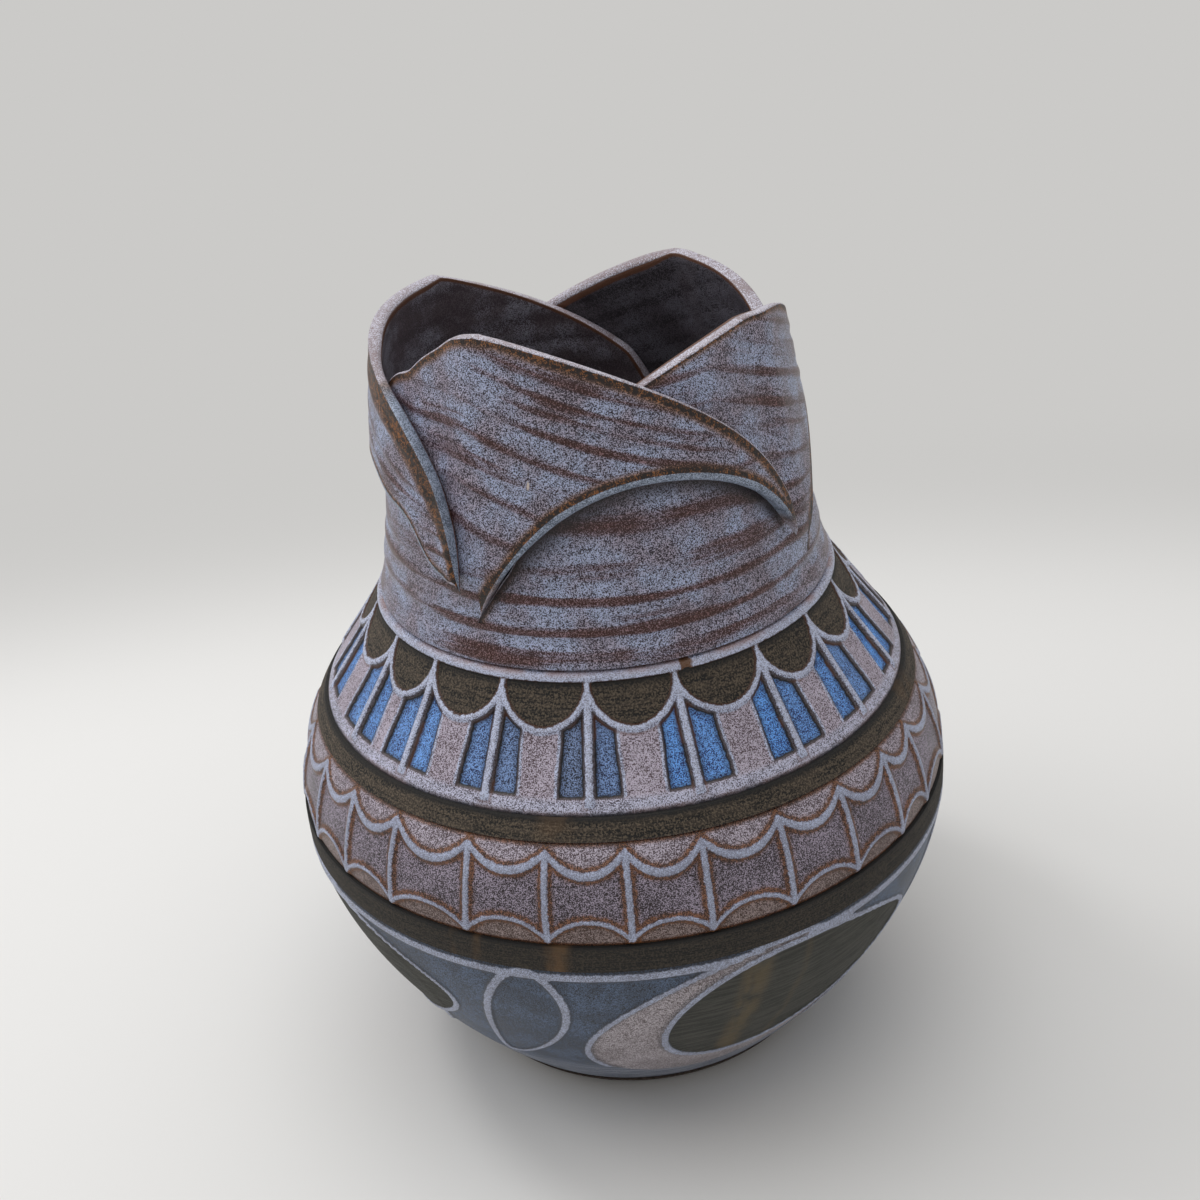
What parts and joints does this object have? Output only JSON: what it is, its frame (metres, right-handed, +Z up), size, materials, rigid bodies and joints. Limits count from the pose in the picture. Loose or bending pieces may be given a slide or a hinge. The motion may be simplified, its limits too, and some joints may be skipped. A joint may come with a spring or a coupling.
{
  "type": "carved pottery vase",
  "caption": "Round-bellied stoneware vase with dark slip bands, carved rings of arches and a neck cut and lapped into petals.",
  "frame": {"origin": "on the pot's axis, at the height of the surface that the foot stands on", "axes": "+Z up along the pot's axis; -Y towards the viewer of the front petal; +X to that viewer's right"},
  "size_m": [0.1656, 0.1656, 0.2006],
  "materials": {
    "bare_clay": "unglazed, matt, turned",
    "slate_glaze": "satin glaze over turned clay",
    "mauve_glaze": "satin mottled glaze",
    "blue_glaze": "satin mottled glaze",
    "petal_glaze": "satin mottled glaze breaking brown at the edges",
    "dark_slip": "brushed slip, matt"
  },
  "bodies": {
    "root": {"foot_ring": "bare_clay", "lower_bowl": "slate_glaze", "belly_wall": "mauve_glaze", "shoulder_wall": "blue_glaze", "neck_collar": "petal_glaze", "lower_slip_band": "dark_slip", "upper_slip_band": "dark_slip", "scallop_slip_ring": "dark_slip", "petal_front": "petal_glaze", "petal_right": "petal_glaze", "petal_back": "petal_glaze", "petal_left": "petal_glaze"}
  },
  "joints": []
}
